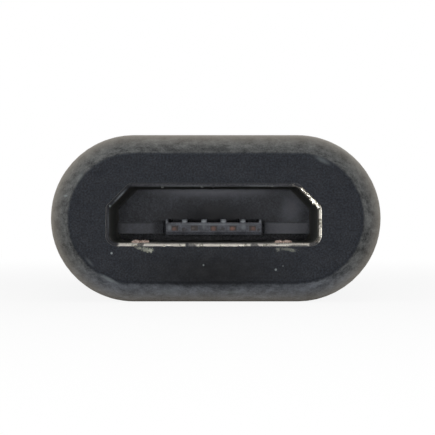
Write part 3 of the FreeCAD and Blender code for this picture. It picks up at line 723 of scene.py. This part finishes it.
def dressNodes():
    # the record says which finish each node has
    finishes = {
        "housing_plastic": makeHousingPlastic(),
        "collar_plastic": makePlainPlastic("mouldedPolycarbonateCollar", collarLook),
        "insulator_plastic": makePlainPlastic("mouldedCrystalPolymer", insulatorLook, insulatorMarksAndPaintedLight),
        "socket_steel": makeShellSteel(),
        "plug_steel": makeMetal("deepDrawnStainlessSteel", plugShellLook),
        "spring_steel": makeMetal("stampedSpringSteel", springLook),
        "socket_contact_metal": makeContactBronze(),
        "plug_contact_metal": makeMetal("goldFlashedBronze", goldLook),
        "board_laminate": makePlainPlastic("lacqueredGlassLaminate", boardLook),
        "resistor_body": makePlainPlastic("filmOnCeramic", resistorLook),
        "capacitor_body": makePlainPlastic("firedTanCeramic", capacitorLook),
    }
    for row in frame["record"]["subparts"]:
        mesh = nodes[row["node"]].data
        mesh.materials.clear()
        mesh.materials.append(finishes[row["material_slot"]])
    print("Finishes:", len(finishes))


# Wear: metal that plugs have smeared up on the lip and on the shell's floor just behind it, and
# dirt packed in the shell's seam.
# A lump is its pixel of the photograph, depth behind the end face, half width, half depth and
# half height, all in millimetres, and its turn clockwise in degrees.
burrLook = {
    "segments": 20, "rings": 12, "ragged": 0.45, "raggedSize": 0.06 * mm,
    "grainSize": 0.05 * mm, "paleSpan": (0.4, 0.6),
}
copperBurrLook = {
    "colour": "#a8897d", "paleColour": "#ecd9cd", "metallic": 0.4, "roughness": (0.4, 0.65),
}
copperBurrs = {
    "worn_track_left": [
        ((137.8, 242.0), 0.34, (0.17, 0.12, 0.062), 0),
        ((144.6, 241.8), 0.36, (0.15, 0.12, 0.055), 0),
    ],
    "worn_track_right": [
        ((279.0, 242.2), 0.34, (0.16, 0.12, 0.070), 0),
        ((286.6, 242.0), 0.38, (0.17, 0.12, 0.062), 0),
    ],
}
nickelBurrLook = {
    "colour": "#d8d2c2", "paleColour": "#fffbf0", "metallic": 1.0, "roughness": (0.26, 0.36),
}
nickelBurrs = {
    "corner_burr": [
        ((303.2, 190.2), 0.145, (0.160, 0.020, 0.075), 47),
        ((309.4, 196.2), 0.145, (0.140, 0.020, 0.068), 44),
        ((314.0, 201.2), 0.145, (0.220, 0.022, 0.108), 46),
        ((318.4, 206.2), 0.145, (0.140, 0.020, 0.080), 60),
    ],
}
dullBurrLook = {
    "colour": "#4c4d4c", "paleColour": "#888a88", "metallic": 0.25, "roughness": (0.5, 0.7),
}
dullBurrs = {
    "lip_nicks": [
        ((162.3, 187.0), 0.24, (0.060, 0.04, 0.032), 0),
        ((202.0, 186.9), 0.24, (0.055, 0.04, 0.032), 0),
        ((267.6, 186.2), 0.22, (0.045, 0.03, 0.026), 0),
        ((272.8, 186.4), 0.22, (0.050, 0.03, 0.028), 0),
    ],
}
dirtLook = {
    "colour": "#3a3b40", "paleColour": "#55565c", "metallic": 0.0, "roughness": (0.6, 0.8),
}
packedDirt = {
    "seam_dirt": [((213.2, 185.0), 0.20, (0.050, 0.06, 0.080), 0)],
}


def makeWornMaterial(name, look):
    # worn metal or packed dirt, mottled between two colours by a fine noise
    material, tree, place = newMaterial(name)
    grain = cloudiness(tree, place, burrLook["grainSize"])
    pale = ramp(tree, grain, *burrLook["paleSpan"])
    colour = mixed(tree, pale, look["colour"], look["paleColour"])
    rough = ramp(tree, grain, *noiseSpan, *look["roughness"])
    finishMaterial(tree, addNode(tree, "BsdfPrincipled", {"Metallic": look["metallic"]}, {
        "Base Color": colour, "Roughness": rough}))
    return material


def makeBurr(name, lumps, material):
    # ragged low lumps, each sunk about halfway into the metal that carries it
    look = burrLook
    form = bmesh.new()
    for pixel, depth, halves, turn in lumps:
        made = bmesh.ops.create_uvsphere(
            form, u_segments=look["segments"], v_segments=look["rings"], radius=1.0)["verts"]
        centre = photoPoint(*pixel, depth=depth * mm)
        bmesh.ops.scale(form, verts=made, vec=Vector(halves) * mm)
        for vert in made:
            swell = noise.noise((vert.co + centre) / look["raggedSize"])
            vert.co *= 1 + look["ragged"] * swell
        turned = Matrix.Rotation(math.radians(turn), 3, "Y")
        bmesh.ops.rotate(form, verts=made, cent=(0, 0, 0), matrix=turned)
        bmesh.ops.translate(form, verts=made, vec=centre)
    for face in form.faces:
        face.smooth = True
    mesh = bpy.data.meshes.new(name)
    form.to_mesh(mesh)
    form.free()
    mesh.materials.append(material)
    piece = bpy.data.objects.new(name, mesh)
    bpy.context.scene.collection.objects.link(piece)
    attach(piece, "root")


def makeWear():
    wear = (
        (copperBurrs, makeWornMaterial("rubbedCopperUnderplate", copperBurrLook)),
        (nickelBurrs, makeWornMaterial("burnishedNickelBurr", nickelBurrLook)),
        (dullBurrs, makeWornMaterial("dulledNickelBurr", dullBurrLook)),
        (packedDirt, makeWornMaterial("packedPocketDirt", dirtLook)),
    )
    for burrs, material in wear:
        for name, lumps in burrs.items():
            makeBurr(name, lumps, material)
            print("Wear on the socket's lip:", name)


makeCamera()
makeWorld()
makeFloor()
makeLamps()
dressNodes()
makeWear()

bpy.context.scene.view_settings.view_transform = "Standard"
